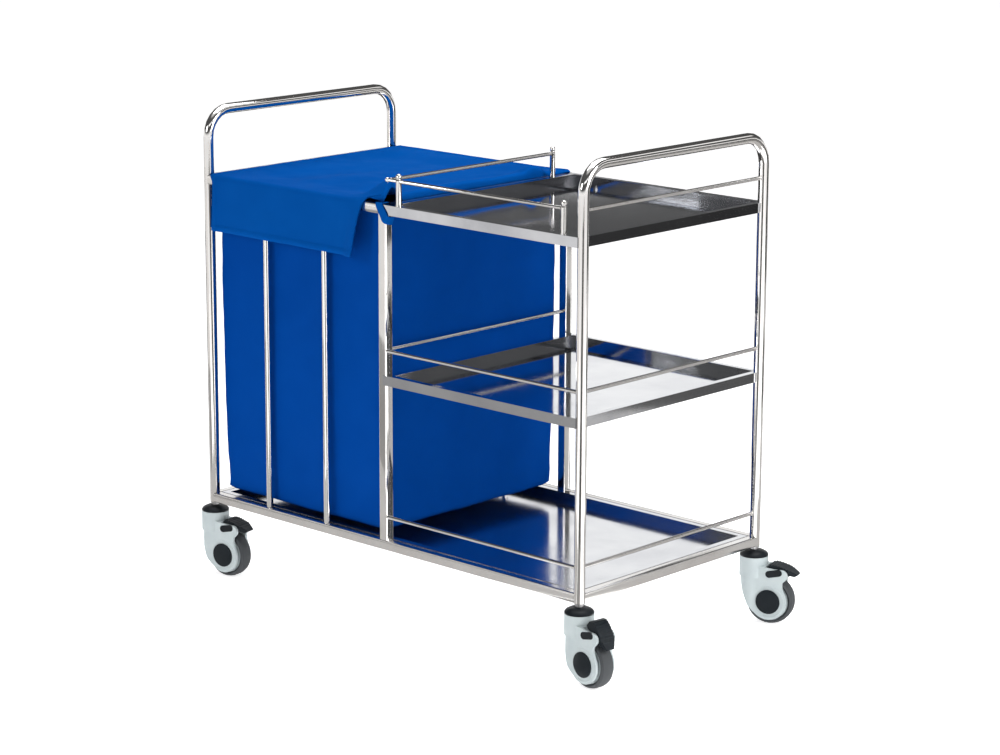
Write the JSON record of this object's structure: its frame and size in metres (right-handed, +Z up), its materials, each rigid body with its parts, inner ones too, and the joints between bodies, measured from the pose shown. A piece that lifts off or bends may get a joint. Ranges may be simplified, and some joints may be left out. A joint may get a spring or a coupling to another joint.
{
  "type": "hospital linen trolley",
  "caption": "Wheeled tubular linen trolley: covered fabric bag bay beside stacked guarded trays, hoop handles at both ends, braked swivel casters.",
  "frame": {"origin": "on the floor, under the centre of the whole trolley's box", "axes": "+X along the length towards the tray end, +Y from the guarded side towards the open side, +Z up"},
  "size_m": [1.1728, 0.6256, 1.017],
  "materials": {
    "frame_steel": "polished stainless steel tube and rod",
    "tray_steel": "mirror polished stainless steel sheet",
    "stem_steel": "zinc plated",
    "bag_fabric": "close woven, royal blue",
    "cover_fabric": "coated woven fabric, royal blue",
    "grey_plastic": "moulded, light grey",
    "dark_plastic": "moulded, charcoal",
    "tyre": "grey non-marking tread"
  },
  "bodies": {
    "frame": {"left_hoop": "frame_steel", "right_hoop": "frame_steel", "base_front_rail": "frame_steel", "base_back_rail": "frame_steel", "base_left_rail": "frame_steel", "base_right_rail": "frame_steel", "mid_front_post": "frame_steel", "mid_back_post": "frame_steel", "bag_front_rail": "frame_steel", "bag_back_rail": "frame_steel", "bag_left_rail": "frame_steel", "bag_right_rail": "frame_steel", "bag_front_bar_1": "frame_steel", "bag_front_bar_2": "frame_steel", "bag_back_bar_1": "frame_steel", "bag_back_bar_2": "frame_steel", "top_tray": "tray_steel", "middle_tray": "tray_steel", "bottom_tray": "tray_steel", "middle_front_rod": "frame_steel", "bottom_front_rod": "frame_steel", "top_end_rod": "frame_steel", "middle_end_rod": "frame_steel", "bottom_end_rod": "frame_steel", "middle_divider_rod": "frame_steel", "guard_post_front_left": "frame_steel", "guard_post_front_right": "frame_steel", "guard_post_back_left": "frame_steel", "top_front_rod": "frame_steel", "top_divider_rod": "frame_steel", "linen_bag": "bag_fabric", "caster_front_left_stem": "stem_steel", "caster_front_right_stem": "stem_steel", "caster_back_left_stem": "stem_steel", "caster_back_right_stem": "stem_steel"},
    "cover": {"bag_cover": "cover_fabric"},
    "caster_front_left_fork": {"caster_front_left_dome": "dark_plastic", "caster_front_left_housing": "grey_plastic", "caster_front_left_hub_caps": "dark_plastic"},
    "caster_front_left_rolling": {"caster_front_left_wheel": "grey_plastic", "caster_front_left_tyre": "tyre"},
    "caster_front_left_brake": {"caster_front_left_pedal": "dark_plastic"},
    "caster_front_right_fork": {"caster_front_right_dome": "dark_plastic", "caster_front_right_housing": "grey_plastic", "caster_front_right_hub_caps": "dark_plastic"},
    "caster_front_right_rolling": {"caster_front_right_wheel": "grey_plastic", "caster_front_right_tyre": "tyre"},
    "caster_front_right_brake": {"caster_front_right_pedal": "dark_plastic"},
    "caster_back_left_fork": {"caster_back_left_dome": "dark_plastic", "caster_back_left_housing": "grey_plastic", "caster_back_left_hub_caps": "dark_plastic"},
    "caster_back_left_rolling": {"caster_back_left_wheel": "grey_plastic", "caster_back_left_tyre": "tyre"},
    "caster_back_left_brake": {"caster_back_left_pedal": "dark_plastic"},
    "caster_back_right_fork": {"caster_back_right_dome": "dark_plastic", "caster_back_right_housing": "grey_plastic", "caster_back_right_hub_caps": "dark_plastic"},
    "caster_back_right_rolling": {"caster_back_right_wheel": "grey_plastic", "caster_back_right_tyre": "tyre"},
    "caster_back_right_brake": {"caster_back_right_pedal": "dark_plastic"}
  },
  "joints": [
    {"name": "cover_hinge", "type": "hinge", "parent": "frame", "child": "cover", "pos_m": [-0.29446, 0.27451, 0.876], "axis": [-1, 0, 0], "range_deg": [0, 110]},
    {"name": "front_left_swivel", "type": "hinge", "parent": "frame", "child": "caster_front_left_fork", "pos_m": [-0.55696, -0.27849, 0.12], "axis": [0, 0, 1], "continuous": true},
    {"name": "front_left_roll", "type": "hinge", "parent": "caster_front_left_fork", "child": "caster_front_left_rolling", "pos_m": [-0.51943, -0.27254, 0.05], "axis": [-0.1564, 0.9877, 0], "continuous": true},
    {"name": "front_left_brake", "type": "hinge", "parent": "caster_front_left_fork", "child": "caster_front_left_brake", "pos_m": [-0.49227, -0.26824, 0.107], "axis": [-0.1564, 0.9877, 0], "range_deg": [0, 40]},
    {"name": "front_right_swivel", "type": "hinge", "parent": "frame", "child": "caster_front_right_fork", "pos_m": [0.49304, -0.27849, 0.12], "axis": [0, 0, 1], "continuous": true},
    {"name": "front_right_roll", "type": "hinge", "parent": "caster_front_right_fork", "child": "caster_front_right_rolling", "pos_m": [0.53076, -0.28312, 0.05], "axis": [0.1219, 0.9925, 0], "continuous": true},
    {"name": "front_right_brake", "type": "hinge", "parent": "caster_front_right_fork", "child": "caster_front_right_brake", "pos_m": [0.55805, -0.28647, 0.107], "axis": [0.1219, 0.9925, 0], "range_deg": [-40, 0]},
    {"name": "back_left_swivel", "type": "hinge", "parent": "frame", "child": "caster_back_left_fork", "pos_m": [-0.55696, 0.26151, 0.12], "axis": [0, 0, 1], "continuous": true},
    {"name": "back_left_roll", "type": "hinge", "parent": "caster_back_left_fork", "child": "caster_back_left_rolling", "pos_m": [-0.51979, 0.26941, 0.05], "axis": [-0.2079, 0.9781, 0], "continuous": true},
    {"name": "back_left_brake", "type": "hinge", "parent": "caster_back_left_fork", "child": "caster_back_left_brake", "pos_m": [-0.49289, 0.27513, 0.107], "axis": [-0.2079, 0.9781, 0], "range_deg": [0, 40]},
    {"name": "back_right_swivel", "type": "hinge", "parent": "frame", "child": "caster_back_right_fork", "pos_m": [0.49304, 0.26151, 0.12], "axis": [0, 0, 1], "continuous": true},
    {"name": "back_right_roll", "type": "hinge", "parent": "caster_back_right_fork", "child": "caster_back_right_rolling", "pos_m": [0.52827, 0.27575, 0.05], "axis": [-0.3746, 0.9272, 0], "continuous": true},
    {"name": "back_right_brake", "type": "hinge", "parent": "caster_back_right_fork", "child": "caster_back_right_brake", "pos_m": [0.55377, 0.28605, 0.107], "axis": [-0.3746, 0.9272, 0], "range_deg": [0, 40]}
  ]
}
